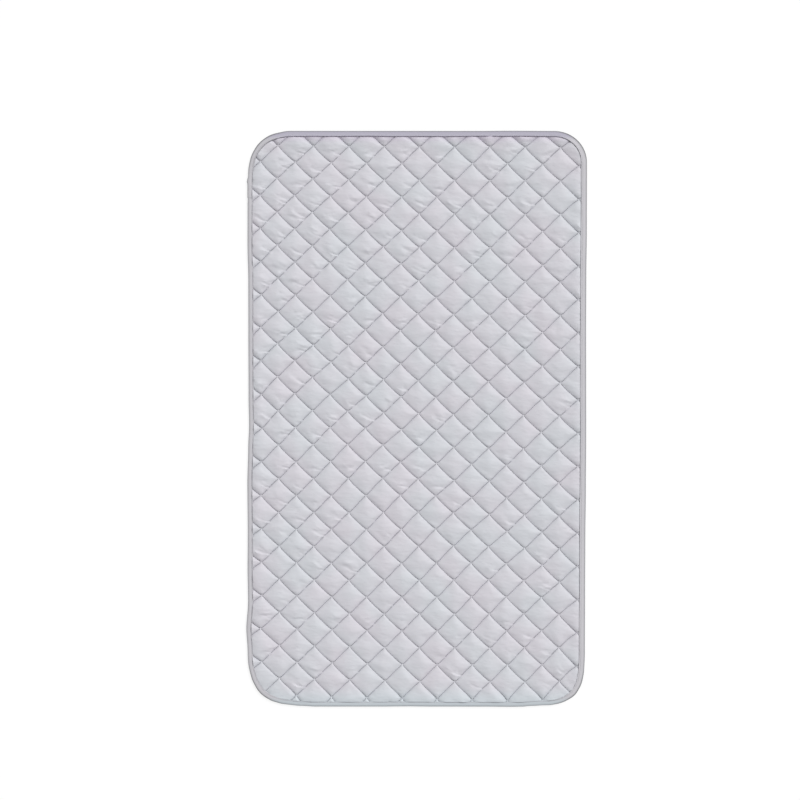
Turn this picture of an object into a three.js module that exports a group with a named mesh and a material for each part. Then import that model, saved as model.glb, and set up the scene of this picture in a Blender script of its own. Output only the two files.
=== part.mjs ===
import * as THREE from "three";

// Outer size of the pad, in mm
const PAD_WIDTH = 500;
const PAD_LENGTH = 850;

// Corner radii of the outer edge: they are rounded by hand, so each one differs
const CORNER_TOP_RIGHT = 47;
const CORNER_TOP_LEFT = 62;
const CORNER_BOTTOM_LEFT = 68;
const CORNER_BOTTOM_RIGHT = 56;
const CORNER_STEPS = 8;

// Quilted layers, with the puff of a diamond above and below the stitch level
const CLOTH_THICKNESS = 0.4;
const WADDING_THICKNESS = 2;
const FACE_CROWN = 4;
const BACK_CROWN = 0.9;
const LAYER_GAP = 0.3;

// Diamonds of the quilting: the rows across drop a little to the right
const DIAMOND_WIDTH = 51.97;
const DIAMOND_LENGTH = 49.2;
const DIAMOND_DROP = 0.76;
const QUILT_SHIFT_X = 3.7;
const QUILT_SHIFT_Y = 6.5;

// Diamonds cut by the edge to less than this share lie flat, and shared points keep to a fine grid
const FLAT_SHARE = 0.3;
const GRID_PER_MM = 1000;

// Sewing threads: neighbours stay apart by the spread where their zigzags meet
const THREAD_SIZE = 0.4;
const THREAD_GAP = 0.2;
const THREAD_SPREAD = 0.9;
const SHORTEST_LEG = 2;
const SHARPEST_MITRE = 0.3;

// Binding tape, folded round the edge, and the lap of its end over its start
const TAPE_THICKNESS = 0.5;
const BINDING_WIDTH = 8;
const FOLD_STEPS = 4;
const STITCH_FROM_EDGE = 1.5;
const LAP_FROM_CORNER = 15;
const LAP_LENGTH = 25;
const LAP_RISE = 1.5;

// Levels from the table up
const threadRoom = THREAD_SIZE + 2 * THREAD_GAP;
const backSeam = Math.max(TAPE_THICKNESS + threadRoom, BACK_CROWN + LAYER_GAP);
const backInside = backSeam + CLOTH_THICKNESS;
const waddingBottom = backInside + LAYER_GAP;
const waddingTop = waddingBottom + WADDING_THICKNESS;
const faceInside = waddingTop + LAYER_GAP;
const faceSeam = faceInside + CLOTH_THICKNESS;
const bindingTop = faceSeam + threadRoom + TAPE_THICKNESS;

// Distances in from the outer edge
const foldRadius = bindingTop / 2;
const cutInset = foldRadius;
const runInset = (cutInset + BINDING_WIDTH) / 2;
const stitchInset = Math.max(BINDING_WIDTH - STITCH_FROM_EDGE, foldRadius + THREAD_SIZE);

const CORNERS = [
  { right: 1, up: 1, radius: CORNER_TOP_RIGHT, start: 0 },
  { right: -1, up: 1, radius: CORNER_TOP_LEFT, start: Math.PI / 2 },
  { right: -1, up: -1, radius: CORNER_BOTTOM_LEFT, start: Math.PI },
  { right: 1, up: -1, radius: CORNER_BOTTOM_RIGHT, start: 1.5 * Math.PI },
];

// Centre of the arc that rounds one corner
function cornerCentre(corner) {
  const x = corner.right * (PAD_WIDTH / 2 - corner.radius);
  const y = corner.up * (PAD_LENGTH / 2 - corner.radius);
  return new THREE.Vector2(x, y);
}

// Places along one rounded corner, each with the direction out of the pad
function cornerStations(corner) {
  const centre = cornerCentre(corner);
  const stations = [];
  for (let step = 0; step <= CORNER_STEPS; step += 1) {
    const angle = corner.start + (step / CORNER_STEPS) * (Math.PI / 2);
    const out = new THREE.Vector2(Math.cos(angle), Math.sin(angle));
    const point = centre.clone().addScaledVector(out, corner.radius);
    stations.push({ point, out });
  }
  return stations;
}

// Anticlockwise loop that follows the outer edge at a distance inside it
function insetLoop(inset) {
  const stations = CORNERS.flatMap(cornerStations);
  return stations.map(({ point, out }) => point.clone().addScaledVector(out, -inset));
}

// Positive when p lies left of the line from a to b
function sideOf(a, b, p) {
  return (b.x - a.x) * (p.y - a.y) - (b.y - a.y) * (p.x - a.x);
}

// Part of a polygon inside a convex loop
function clipPolygon(polygon, loop) {
  let kept = polygon;
  loop.forEach((a, index) => {
    const b = loop[(index + 1) % loop.length];
    const before = kept;
    kept = [];
    before.forEach((p, at) => {
      const q = before[(at + 1) % before.length];
      const sideP = sideOf(a, b, p);
      const sideQ = sideOf(a, b, q);
      if (sideP >= 0) {
        kept.push(p);
      }
      if (sideP >= 0 !== sideQ >= 0) {
        kept.push(p.clone().lerp(q, sideP / (sideP - sideQ)));
      }
    });
  });
  return kept;
}

// Part of a straight leg inside a convex loop, or nothing
function clipLeg(p, q, loop) {
  let from = 0;
  let to = 1;
  loop.forEach((a, index) => {
    const b = loop[(index + 1) % loop.length];
    const sideP = sideOf(a, b, p);
    const sideQ = sideOf(a, b, q);
    const crossing = sideP / (sideP - sideQ);
    if (sideP < 0) {
      from = sideQ < 0 ? 1 : Math.max(from, crossing);
    } else if (sideQ < 0) {
      to = Math.min(to, crossing);
    }
  });
  const short = (to - from) * p.distanceTo(q) < SHORTEST_LEG;
  return short ? null : [p.clone().lerp(q, from), p.clone().lerp(q, to)];
}

// Edge of a loop on which a point lies
function edgeUnder(point, loop) {
  const nearness = loop.map((a, index) => {
    const b = loop[(index + 1) % loop.length];
    return Math.abs(a.distanceTo(point) + point.distanceTo(b) - a.distanceTo(b));
  });
  return nearness.indexOf(Math.min(...nearness));
}

// Corners of a loop passed on the short way from one of its points to another
function cornersBetween(from, to, loop) {
  const count = loop.length;
  const first = edgeUnder(from, loop);
  const steps = (edgeUnder(to, loop) - first + count) % count;
  const passed = [];
  if (steps <= count / 2) {
    for (let step = 1; step <= steps; step += 1) {
      passed.push(loop[(first + step) % count]);
    }
  } else {
    for (let step = 0; step < count - steps; step += 1) {
      passed.push(loop[(first - step + count) % count]);
    }
  }
  return passed;
}

// Place where stitch lines meet: column and row are both even or both odd
function stitchPoint(column, row) {
  const x = QUILT_SHIFT_X + (column * DIAMOND_WIDTH) / 2;
  const y = QUILT_SHIFT_Y - (row * DIAMOND_LENGTH) / 2 - (column * DIAMOND_DROP) / 2;
  return new THREE.Vector2(x, y);
}

const columnReach = Math.ceil(PAD_WIDTH / DIAMOND_WIDTH) + 2;
const rowReach = Math.ceil(PAD_LENGTH / DIAMOND_LENGTH) + 2;

// Rim with its points on a fine grid and no point twice, so that neighbours share them
function tidyRim(rim) {
  const snapped = rim.map((p) => p.clone().multiplyScalar(GRID_PER_MM).round().divideScalar(GRID_PER_MM));
  return snapped.filter((p, at) => !p.equals(snapped[(at + 1) % snapped.length]));
}

// Diamonds inside the binding, those at the edge cut to it
function quiltCells(loop) {
  const wholeArea = (DIAMOND_WIDTH * DIAMOND_LENGTH) / 2;
  const cells = [];
  for (let column = -columnReach; column <= columnReach; column += 1) {
    for (let row = -rowReach; row <= rowReach; row += 1) {
      if ((column + row) % 2 !== 0) {
        const right = stitchPoint(column + 1, row);
        const top = stitchPoint(column, row - 1);
        const left = stitchPoint(column - 1, row);
        const bottom = stitchPoint(column, row + 1);
        const rim = tidyRim(clipPolygon([right, top, left, bottom], loop));
        if (rim.length > 2) {
          cells.push({ rim, share: THREE.ShapeUtils.area(rim) / wholeArea });
        }
      }
    }
  }
  return cells;
}

// Loop of rim edges that only one cell has
function outerLoop(cells) {
  const name = (p) => `${p.x} ${p.y}`;
  const edges = new Map();
  for (const { rim } of cells) {
    rim.forEach((p, at) => {
      const q = rim[(at + 1) % rim.length];
      edges.set(`${name(p)} ${name(q)}`, [p, q]);
    });
  }
  const after = new Map();
  for (const [p, q] of edges.values()) {
    if (!edges.has(`${name(q)} ${name(p)}`)) {
      after.set(name(p), q);
    }
  }
  const loop = [after.values().next().value];
  while (loop.length < after.size) {
    loop.push(after.get(name(loop.at(-1))));
  }
  return loop;
}

// A point on one inset loop moved straight out to another
function moveOut(point, fromInset, toInset) {
  const corner = CORNERS.find(({ right, up }) => right * point.x >= 0 && up * point.y >= 0);
  const centre = cornerCentre(corner);
  const beyondX = corner.right * (point.x - centre.x) > 0;
  const beyondY = corner.up * (point.y - centre.y) > 0;
  const moved = point.clone();
  if (beyondX && beyondY) {
    const growth = (corner.radius - toInset) / (corner.radius - fromInset);
    moved.sub(centre).multiplyScalar(growth).add(centre);
  } else if (beyondX) {
    moved.x += corner.right * (fromInset - toInset);
  } else {
    moved.y += corner.up * (fromInset - toInset);
  }
  return moved;
}

// Geometry from a list of triangle corners
function solid(corners) {
  const geometry = new THREE.BufferGeometry().setFromPoints(corners);
  geometry.computeVertexNormals();
  return geometry;
}

const lift = (p, level) => new THREE.Vector3(p.x, p.y, level);

// Sides of a body between two rings that run anticlockwise seen from ahead
function addSides(corners, ring, ahead) {
  ring.forEach((p, at) => {
    const next = (at + 1) % ring.length;
    corners.push(p, ring[next], ahead[next], p, ahead[next], ahead[at]);
  });
}

// Flat end of a body over a ring that bulges everywhere, facing ahead
function addEnd(corners, ring) {
  for (let at = 1; at + 1 < ring.length; at += 1) {
    corners.push(ring[0], ring[at], ring[at + 1]);
  }
}

// Puffed diamonds of one side of a cloth, each a low crown over its stitch lines
function addDiamonds(corners, cells, seamLevel, crown) {
  for (const { rim, share } of cells) {
    const edge = rim.map((p) => lift(p, seamLevel));
    if (share < FLAT_SHARE) {
      addEnd(corners, edge);
    } else {
      const middle = new THREE.Vector3();
      edge.forEach((p) => middle.addScaledVector(p, 1 / edge.length));
      middle.z += crown * Math.sqrt(share);
      edge.forEach((p, at) => corners.push(p, edge[(at + 1) % edge.length], middle));
    }
  }
}

// Cloth that is quilted on one side, pressed flat under the binding and flat on its inner side
function quiltedCloth(insideLevel, seamLevel, crown) {
  const cells = quiltCells(insetLoop(BINDING_WIDTH));
  const field = outerLoop(cells);
  const cut = field.map((p) => moveOut(p, BINDING_WIDTH, cutInset));
  const inner = field.map((p) => lift(p, seamLevel));
  const outer = cut.map((p) => lift(p, seamLevel));
  const under = cut.map((p) => lift(p, insideLevel));
  const middle = new THREE.Vector3(0, 0, insideLevel);
  const corners = [];
  addDiamonds(corners, cells, seamLevel, crown);
  addSides(corners, outer, inner);
  addSides(corners, under, outer);
  under.forEach((p, at) => corners.push(under[(at + 1) % under.length], p, middle));
  return solid(crown > 0 ? corners : corners.reverse());
}

// Thread of three sides laid along a line of points
function threadAlong(line) {
  const rings = line.map((p, at) => {
    const before = line[Math.max(at - 1, 0)];
    const after = line[Math.min(at + 1, line.length - 1)];
    const arrive = new THREE.Vector2(p.x - before.x, p.y - before.y).normalize();
    const leave = new THREE.Vector2(after.x - p.x, after.y - p.y).normalize();
    const along = arrive.clone().add(leave).normalize();
    const widen = 1 / Math.max(along.dot(at > 0 ? arrive : leave), SHARPEST_MITRE);
    const aside = new THREE.Vector3(along.y, -along.x, 0).multiplyScalar((widen * THREAD_SIZE) / 2);
    const top = new THREE.Vector3(p.x, p.y, p.z + THREAD_SIZE);
    return [p.clone().sub(aside), top, p.clone().add(aside)];
  });
  const corners = [];
  rings.slice(1).forEach((ring, at) => addSides(corners, rings[at], ring));
  addEnd(corners, rings[0].slice().reverse());
  addEnd(corners, rings.at(-1));
  return solid(corners);
}

// Where the zigzag of one needle turns: it keeps clear of its neighbours
function zigzagTurn(strip, row) {
  const onLeft = (strip + row) % 2 === 0;
  const turn = stitchPoint(onLeft ? strip : strip + 1, row);
  turn.x += (onLeft ? THREAD_SPREAD : -THREAD_SPREAD) / 2;
  return turn;
}

// Stitch line of one needle down the pad, run along the edge under the binding where it is cut
function zigzagLine(strip, loop) {
  const line = [];
  for (let row = -rowReach; row < rowReach; row += 1) {
    const leg = clipLeg(zigzagTurn(strip, row), zigzagTurn(strip, row + 1), loop);
    if (leg) {
      const last = line.at(-1);
      if (last && last.distanceTo(leg[0]) > SHORTEST_LEG) {
        line.push(...cornersBetween(last, leg[0], loop), leg[0]);
      } else if (!last) {
        line.push(leg[0]);
      }
      line.push(leg[1]);
    }
  }
  return line;
}

// Place on the pad's left side, where the tape begins and ends
function leftStation(y) {
  return { point: new THREE.Vector2(-PAD_WIDTH / 2, y), out: new THREE.Vector2(-1, 0) };
}

const lapY = PAD_LENGTH / 2 - CORNER_TOP_LEFT - LAP_FROM_CORNER;
const roundTrip = [...CORNERS.slice(2), ...CORNERS.slice(0, 2)].flatMap(cornerStations);
const lapLift = LAYER_GAP + TAPE_THICKNESS;

// Place on the binding at a depth in from the outer edge and a level
function onBinding({ point, out }, inset, level) {
  return lift(point.clone().addScaledVector(out, -inset), level);
}

// Tape folded round the edge: outer and inner face of its section, from the face to the back
function tapeSection(station) {
  const outer = [onBinding(station, BINDING_WIDTH, bindingTop)];
  const inner = [onBinding(station, BINDING_WIDTH, bindingTop - TAPE_THICKNESS)];
  const insideRadius = foldRadius - TAPE_THICKNESS;
  for (let step = 0; step <= FOLD_STEPS; step += 1) {
    const angle = Math.PI / 2 - (step / FOLD_STEPS) * Math.PI;
    const reach = Math.cos(angle);
    const rise = Math.sin(angle);
    outer.push(onBinding(station, foldRadius - reach * foldRadius, foldRadius + rise * foldRadius));
    inner.push(onBinding(station, foldRadius - reach * insideRadius, foldRadius + rise * insideRadius));
  }
  outer.push(onBinding(station, BINDING_WIDTH, 0));
  inner.push(onBinding(station, BINDING_WIDTH, TAPE_THICKNESS));
  return { outer, inner, ring: [...outer, ...inner.slice().reverse()] };
}

// Whole binding: one tape round the pad with a tongue of its end lapped over its start
function bindingTape() {
  const stations = [leftStation(lapY), ...roundTrip, leftStation(lapY + LAP_RISE)];
  const sections = stations.map(tapeSection);
  const corners = [];
  sections.slice(1).forEach(({ ring }, at) => addSides(corners, sections[at].ring, ring));
  const first = sections[0];
  const last = sections.at(-1);
  first.outer.slice(1).forEach((p, at) => {
    addEnd(corners, [first.inner[at], first.inner[at + 1], p, first.outer[at]]);
    if (at > 0) {
      addEnd(corners, [last.outer[at], last.outer[at + 1], last.inner[at + 1], last.inner[at]]);
    }
  });
  const root = [last.outer[0], last.outer[1], last.inner[1], last.inner[0]];
  const shift = (ring, y, up) => ring.map((p) => new THREE.Vector3(p.x, y, p.z + up));
  const raised = shift(root, lapY, lapLift);
  const tip = shift(root, lapY - LAP_LENGTH, lapLift);
  addSides(corners, root, raised);
  addSides(corners, raised, tip);
  addEnd(corners, tip);
  return solid(corners);
}

// Stitch row along the binding, over the lap at its end
function bindingStitchLine() {
  const level = bindingTop + THREAD_GAP;
  const place = (y, up) => onBinding(leftStation(y), stitchInset, level + up);
  const line = [place(lapY - LAP_LENGTH - STITCH_FROM_EDGE, 0)];
  roundTrip.forEach((station) => line.push(onBinding(station, stitchInset, level)));
  line.push(place(lapY + LAP_RISE, 0), place(lapY, lapLift));
  line.push(place(lapY - LAP_LENGTH + STITCH_FROM_EDGE, lapLift));
  return threadAlong(line);
}

// Plain sheet cut to the same edge as the cloths
function plainSheet(bottom, thickness) {
  const shape = new THREE.Shape(insetLoop(cutInset));
  const geometry = new THREE.ExtrudeGeometry(shape, { depth: thickness, bevelEnabled: false });
  return geometry.translate(0, 0, bottom);
}

const pad = new THREE.Group();

// One named piece of the pad
function addPiece(name, geometry, color, roughness) {
  const material = new THREE.MeshStandardMaterial({ color, roughness, metalness: 0 });
  const mesh = new THREE.Mesh(geometry, material);
  mesh.name = name;
  pad.add(mesh);
}

addPiece("back_cloth", quiltedCloth(backInside, backSeam, -BACK_CROWN), 0xdcdad6, 0.9);
addPiece("wadding", plainSheet(waddingBottom, WADDING_THICKNESS), 0xf2f0ea, 0.95);
addPiece("face_cloth", quiltedCloth(faceInside, faceSeam, FACE_CROWN), 0xcbcad0, 0.55);
addPiece("edge_binding", bindingTape(), 0xbdbbc6, 0.85);
addPiece("binding_needle_thread", bindingStitchLine(), 0xc9c8d0, 0.7);

// Quilting threads in pairs, numbered from the left
const threadLoop = insetLoop(runInset);
let needle = 0;
for (let strip = -columnReach; strip < columnReach; strip += 1) {
  const line = zigzagLine(strip, threadLoop);
  if (line.length > 1) {
    needle += 1;
    const number = String(needle).padStart(2, "0");
    const above = line.map((p) => lift(p, faceSeam + THREAD_GAP));
    const below = line.map((p) => lift(p, backSeam - THREAD_GAP - THREAD_SIZE));
    addPiece(`quilt_needle_thread_${number}`, threadAlong(above), 0xc4c3ca, 0.7);
    addPiece(`quilt_bobbin_thread_${number}`, threadAlong(below), 0xd6d5d2, 0.7);
  }
}

export default pad;
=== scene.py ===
# %% [markdown]
# # A quilted ironing pad, dressed round its solid model
# The pad is three layers of cloth and wadding, sewn together in diamonds and bound round the edge.
# The packed model gives every size and place, so we load it first and keep its parts. We could
# start from an empty file instead, but then there would be no solid parts for the pieces to stand
# for.

# %% Load the packed pad
import math

import bpy
import numpy as np
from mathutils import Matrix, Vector, noise
from mathutils.bvhtree import BVHTree
from mathutils.kdtree import KDTree


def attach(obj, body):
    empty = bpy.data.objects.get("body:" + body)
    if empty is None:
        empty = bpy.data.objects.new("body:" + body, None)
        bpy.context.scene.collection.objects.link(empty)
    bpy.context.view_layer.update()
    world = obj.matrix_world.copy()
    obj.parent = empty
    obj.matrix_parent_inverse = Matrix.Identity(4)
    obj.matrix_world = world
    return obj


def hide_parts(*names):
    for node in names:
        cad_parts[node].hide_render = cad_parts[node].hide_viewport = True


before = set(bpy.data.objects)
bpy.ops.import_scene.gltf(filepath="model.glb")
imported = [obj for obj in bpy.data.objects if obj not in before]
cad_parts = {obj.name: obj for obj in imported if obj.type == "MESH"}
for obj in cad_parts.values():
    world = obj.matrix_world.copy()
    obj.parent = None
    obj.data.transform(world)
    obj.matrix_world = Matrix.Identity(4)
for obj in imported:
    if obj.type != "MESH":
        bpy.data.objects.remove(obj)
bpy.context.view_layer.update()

MM = 0.001

# %% [markdown]
# ## Sizes of the pad
# These are the sizes of the solid model, in metres: outline, corners, diamonds and layers. Each
# corner of the real pad was rounded by hand, so all four radii differ. Two slanted steps, one down
# and one up to the right, reach every crossing of the stitch lines.

# %% Outline, quilting and layers
PAD_WIDTH = 500 * MM
PAD_LENGTH = 850 * MM
CORNERS = ((1, 1, 47 * MM), (-1, 1, 62 * MM), (-1, -1, 68 * MM), (1, -1, 56 * MM))
DIAMOND_WIDTH = 51.97 * MM
DIAMOND_LENGTH = 49.2 * MM
DIAMOND_DROP = 0.76 * MM
QUILT_START = np.array((3.7, 6.5)) * MM
STEP_DOWN = np.array((DIAMOND_WIDTH, -DIAMOND_LENGTH - DIAMOND_DROP)) / 2
STEP_UP = np.array((DIAMOND_WIDTH, DIAMOND_LENGTH - DIAMOND_DROP)) / 2
DIAMOND_SIDE = float(np.hypot(*STEP_UP))
FACE_SEAM = 4.7 * MM
BACK_SEAM = 1.3 * MM
CLOTH = 0.4 * MM
CUT_INSET = 3 * MM
print("diamond side, mm:", round(DIAMOND_SIDE / MM, 1))

# %% [markdown]
# ## Camera
# The picture looks straight down on the pad, which fills about three quarters of its height. A long
# lens far above keeps the edges from leaning outwards, as a wide lens close by would make them.

# %% Camera straight above
VIEW_WIDTH = 1180.4 * MM
VIEW_CENTRE = (-24.7 * MM, 27.6 * MM)
LENS = 85
lens = bpy.data.cameras.new("above")
lens.lens = LENS
lens.sensor_width = 36
camera_height = VIEW_WIDTH / 2 * LENS / (lens.sensor_width / 2)
camera = bpy.data.objects.new("above", lens)
camera.location = (*VIEW_CENTRE, camera_height + FACE_SEAM)
bpy.context.scene.collection.objects.link(camera)
bpy.context.scene.camera = camera
bpy.context.scene.view_settings.view_transform = "Standard"
print("camera height, m:", round(camera_height, 3))

# %% [markdown]
# ## Shader maths as plain sums
# A material is a web of nodes, and drawing each Math node by hand hides what it works out. This
# small class wraps one socket, so that sums on it read as sums and add the Math nodes themselves.
# Every other node comes from its one method, which sets a node's options first and its sockets
# next.


# %% A socket that can be calculated with
class Flow:
    """A socket of a node tree, which sums can be done with."""

    def __init__(self, tree, end=None):
        self.tree = tree
        self.end = end

    def node(self, kind, settings, sockets, out=0):
        """A new node with its options, then its sockets set or linked, as one of its outputs."""
        made = self.tree.nodes.new(kind)
        for name, value in settings.items():
            if name == "stops":
                for stop, (place, shade) in zip(made.color_ramp.elements, value):
                    stop.position = place
                    stop.color = shade
            else:
                setattr(made, name, value)
        for name, value in sockets.items():
            if isinstance(value, Flow):
                self.tree.links.new(value.end, made.inputs[name])
            else:
                made.inputs[name].default_value = value
        return Flow(self.tree, made.outputs[out])

    def sum(self, operation, first, second):
        return self.node("ShaderNodeMath", {"operation": operation}, {0: first, 1: second})

    def __add__(self, other):
        return self.sum("ADD", self, other)

    def __radd__(self, other):
        return self.sum("ADD", other, self)

    def __sub__(self, other):
        return self.sum("SUBTRACT", self, other)

    def __rsub__(self, other):
        return self.sum("SUBTRACT", other, self)

    def __mul__(self, other):
        return self.sum("MULTIPLY", self, other)

    def __rmul__(self, other):
        return self.sum("MULTIPLY", other, self)

    def __gt__(self, other):
        return self.sum("GREATER_THAN", self, other)

    def mix(self, low, high):
        """A colour between two, with this socket as the share of the second."""
        options = {"data_type": "RGBA"}
        return self.node("ShaderNodeMix", options, {0: self, 6: low, 7: high}, 2)


print("sums ready:", [n for n in vars(Flow) if n.startswith("__r")])

# %% [markdown]
# ## Floor and light
# The pad lies on a plain white table under one broad soft lamp from the upper right, so each
# diamond is bright on that side and dim on the other. The sky fills the rest evenly. A sun lamp
# with a wide disc is as soft as a large studio lamp and lights the whole pad alike. The table shows
# white to the camera and still takes some of the pad's shadow.

# %% Table
WHITE = (1, 1, 1, 1)
TABLE_WHITE = (0.94, 0.94, 0.94, 1)
TABLE_SIZE = 12
TABLE_LEVEL = -0.2 * MM
TABLE_GLOW = 1.03
SHADOW_SHARE = 0.2
PLAIN_RAYS = ("Is Camera Ray", "Is Glossy Ray", "Is Transmission Ray")


def finish(name):
    """A new material, its shader, and a start for its sums."""
    material = bpy.data.materials.new(name)
    material.use_nodes = True
    shader = material.node_tree.nodes["Principled BSDF"]
    return material, shader, Flow(material.node_tree)


def feed(shader, **sockets):
    """Links what varies, and sets what is the same all over, on a shader's own sockets."""
    for name, value in sockets.items():
        socket = shader.inputs[name.replace("_", " ")]
        if isinstance(value, Flow):
            value.tree.links.new(value.end, socket)
        else:
            socket.default_value = value


def seen_plainly(flow):
    """One where a ray comes from the camera, or by a gloss or through glass."""
    path = flow.node("ShaderNodeLightPath", {}, {})
    camera, gloss, glass = [Flow(flow.tree, path.end.node.outputs[ray]) for ray in PLAIN_RAYS]
    return camera + gloss + glass > 0.5


bpy.ops.object.select_all(action="DESELECT")
bpy.ops.mesh.primitive_plane_add(size=TABLE_SIZE, location=(0, 0, TABLE_LEVEL))
table = bpy.context.object
table.name = "table"
table_finish, table_shader, flow = finish("white_table")
feed(table_shader, Base_Color=TABLE_WHITE, Roughness=0.9)
glow = flow.node("ShaderNodeEmission", {}, {"Color": WHITE, "Strength": TABLE_GLOW})
shadowless = seen_plainly(flow) * (1 - SHADOW_SHARE)
top = Flow(flow.tree, table_shader.outputs[0])
mixed = flow.node("ShaderNodeMixShader", {}, {0: shadowless, 1: top, 2: glow})
output = flow.tree.nodes["Material Output"]
flow.tree.links.new(mixed.end, output.inputs["Surface"])
table.data.materials.append(table_finish)
print("table, m across:", TABLE_SIZE)

# %% Lamp
KEY = 1.95
KEY_ELEVATION = math.radians(50)
KEY_AZIMUTH = math.radians(47)
KEY_DISC = math.radians(28)
lamp = bpy.data.lights.new("soft_lamp", "SUN")
lamp.energy = KEY
lamp.angle = KEY_DISC
lamp_holder = bpy.data.objects.new("soft_lamp", lamp)
lamp_holder.rotation_euler = (0, math.pi / 2 - KEY_ELEVATION, KEY_AZIMUTH)
bpy.context.scene.collection.objects.link(lamp_holder)
print("lamp, degrees above the table:", round(math.degrees(KEY_ELEVATION)))

# %% Sky
SKY = 0.52
sky = bpy.data.worlds.new("sky")
sky.use_nodes = True
bpy.context.scene.world = sky
flow = Flow(sky.node_tree)
background = sky.node_tree.nodes["Background"]
feed(background, Color=WHITE, Strength=SKY)
dim = Flow(flow.tree, background.outputs[0])
white = flow.node("ShaderNodeBackground", {}, {"Color": WHITE, "Strength": 1.0})
mixed = flow.node("ShaderNodeMixShader", {}, {0: seen_plainly(flow), 1: dim, 2: white})
flow.tree.links.new(mixed.end, flow.tree.nodes["World Output"].inputs["Surface"])
level = SKY + KEY * math.sin(KEY_ELEVATION) / math.pi
print("light on a flat white sheet:", round(level, 2))

# %% [markdown]
# ## Finish of the silver cloth
# The face is a thin woven cloth with a silver coating, which makes it satin rather than shiny. Its
# grey drifts a little between pink and blue, and it turns lilac towards the top end and bluer
# towards the bottom one. The weave shows only from close by, and faint slanting crumples lie over
# it everywhere. A picture of cloth would need unwrapping, so all of this is worked out from the
# object's own coordinates.

# %% Colours of the silver cloth
HUE_SIZE = 70 * MM
RUB_SIZE = 16 * MM
RUB_SHADE = 0.06
RUB_ROUGH = 0.14
SATIN = 0.5
TINT_STOP = 6 * MM
TOP_TINT = 22 * MM
BOTTOM_TINT = 34 * MM
PINK_GREY = (0.612, 0.594, 0.640, 1)
BLUE_GREY = (0.591, 0.605, 0.642, 1)
LILAC_GREY = (0.587, 0.542, 0.629, 1)
SEA_GREY = (0.575, 0.617, 0.655, 1)


def place_on(flow):
    """The object's own coordinates, as a vector and as x, y and z."""
    spot = flow.node("ShaderNodeTexCoord", {}, {}, 3)
    parts = flow.node("ShaderNodeSeparateXYZ", {}, {"Vector": spot})
    return spot, [Flow(flow.tree, parts.end.node.outputs[n]) for n in range(3)]


def cloud(flow, spot, size, detail=2.0):
    """Soft noise from 0 to 1 with patches of about that size."""
    sockets = {"Vector": spot, "Scale": 1 / size, "Detail": detail, "Roughness": 0.5}
    return flow.node("ShaderNodeTexNoise", {}, sockets)


def end_tint(flow, along, depth, plain, tint):
    """A colour that turns into another within that distance from one end of the pad."""
    options = {"interpolation_type": "SMOOTHSTEP"}
    reach = {"From Min": PAD_LENGTH / 2 - depth, "From Max": PAD_LENGTH / 2 - TINT_STOP}
    share = flow.node("ShaderNodeMapRange", options, {"Value": along, **reach})
    return share.mix(plain, tint)


silver_finish, shader, flow = finish("silver_cloth")
spot, parts = place_on(flow)
stops = ((0.36, PINK_GREY), (0.64, BLUE_GREY))
hue = flow.node("ShaderNodeValToRGB", {"stops": stops}, {"Fac": cloud(flow, spot, HUE_SIZE)})
tinted = end_tint(flow, parts[1], TOP_TINT, hue, LILAC_GREY)
tinted = end_tint(flow, -1 * parts[1], BOTTOM_TINT, tinted, SEA_GREY)
rub = cloud(flow, spot, RUB_SIZE, 4.0)
worn = {0: tinted, "Scale": rub * RUB_SHADE + (1 - RUB_SHADE / 2)}
colour = flow.node("ShaderNodeVectorMath", {"operation": "SCALE"}, worn)
feed(shader, Base_Color=colour, Metallic=0.0, Roughness=rub * RUB_ROUGH + SATIN)
print("silver cloth, nodes for its colours:", len(flow.tree.nodes))

# %% Weave and crumples of the silver cloth
WEAVE_PITCH = 0.7 * MM
WEAVE_SHARE = 0.03
CRUMPLE = 0.9 * MM
CRUMPLE_SIZE = 11 * MM
CRUMPLE_SLANT = math.radians(-20)
CRUMPLE_STRETCH = (1, 2.2, 1)


def weave(flow, parts, pitch):
    """Height of a plain weave: threads over and under each other, from 0 to 1."""
    turn = math.pi / pitch
    across = flow.sum("SINE", parts[0] * turn, 0.0)
    along = flow.sum("SINE", parts[1] * turn, 0.0)
    return across * along * 0.5 + 0.5


def bumped(flow, height, distance, strength=1.0):
    """A normal tilted by a height, which is that distance at its most."""
    sockets = {"Height": height, "Distance": distance, "Strength": strength}
    return flow.node("ShaderNodeBump", {}, sockets)


turned = {"Vector": spot, "Rotation": (0, 0, CRUMPLE_SLANT), "Scale": CRUMPLE_STRETCH}
crumple = cloud(flow, flow.node("ShaderNodeMapping", {}, turned), CRUMPLE_SIZE, 1.5)
woven = weave(flow, parts, WEAVE_PITCH)
relief = bumped(flow, woven * WEAVE_SHARE + crumple, CRUMPLE)
feed(shader, Normal=relief, Sheen_Weight=0.15, Sheen_Roughness=0.4)
print("silver cloth, nodes in all:", len(flow.tree.nodes))

# %% [markdown]
# ## The outline
# Many steps ask how far a place lies from the edge of the pad, and which way is out. The outline is
# a rectangle with four round corners, so plain sums answer both for any number of points at once. A
# drawn outline and the Shrinkwrap modifier could find the nearest place on it too, but only piece
# by piece.

# %% Places near the edge
RIM_STEPS = 8


def edge_place(flat):
    """How far points lie inside the true outline, and the way out from each."""
    side = np.where(flat >= 0, 1.0, -1.0)
    radius = np.zeros(len(flat))
    for right, up, corner in CORNERS:
        radius[(side[:, 0] == right) & (side[:, 1] == up)] = corner
    half = np.array((PAD_WIDTH, PAD_LENGTH)) / 2
    reach = np.abs(flat) - (half - radius[:, None])
    away = np.linalg.norm(reach, axis=1)
    rounded = (reach > 0).all(axis=1)
    room = half - np.abs(flat)
    inset = np.where(rounded, radius - away, room.min(axis=1))
    straight = side * (room == room.min(axis=1, keepdims=True))
    bent = side * reach / np.maximum(away, 1e-9)[:, None]
    return inset, np.where(rounded[:, None], bent, straight)


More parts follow.
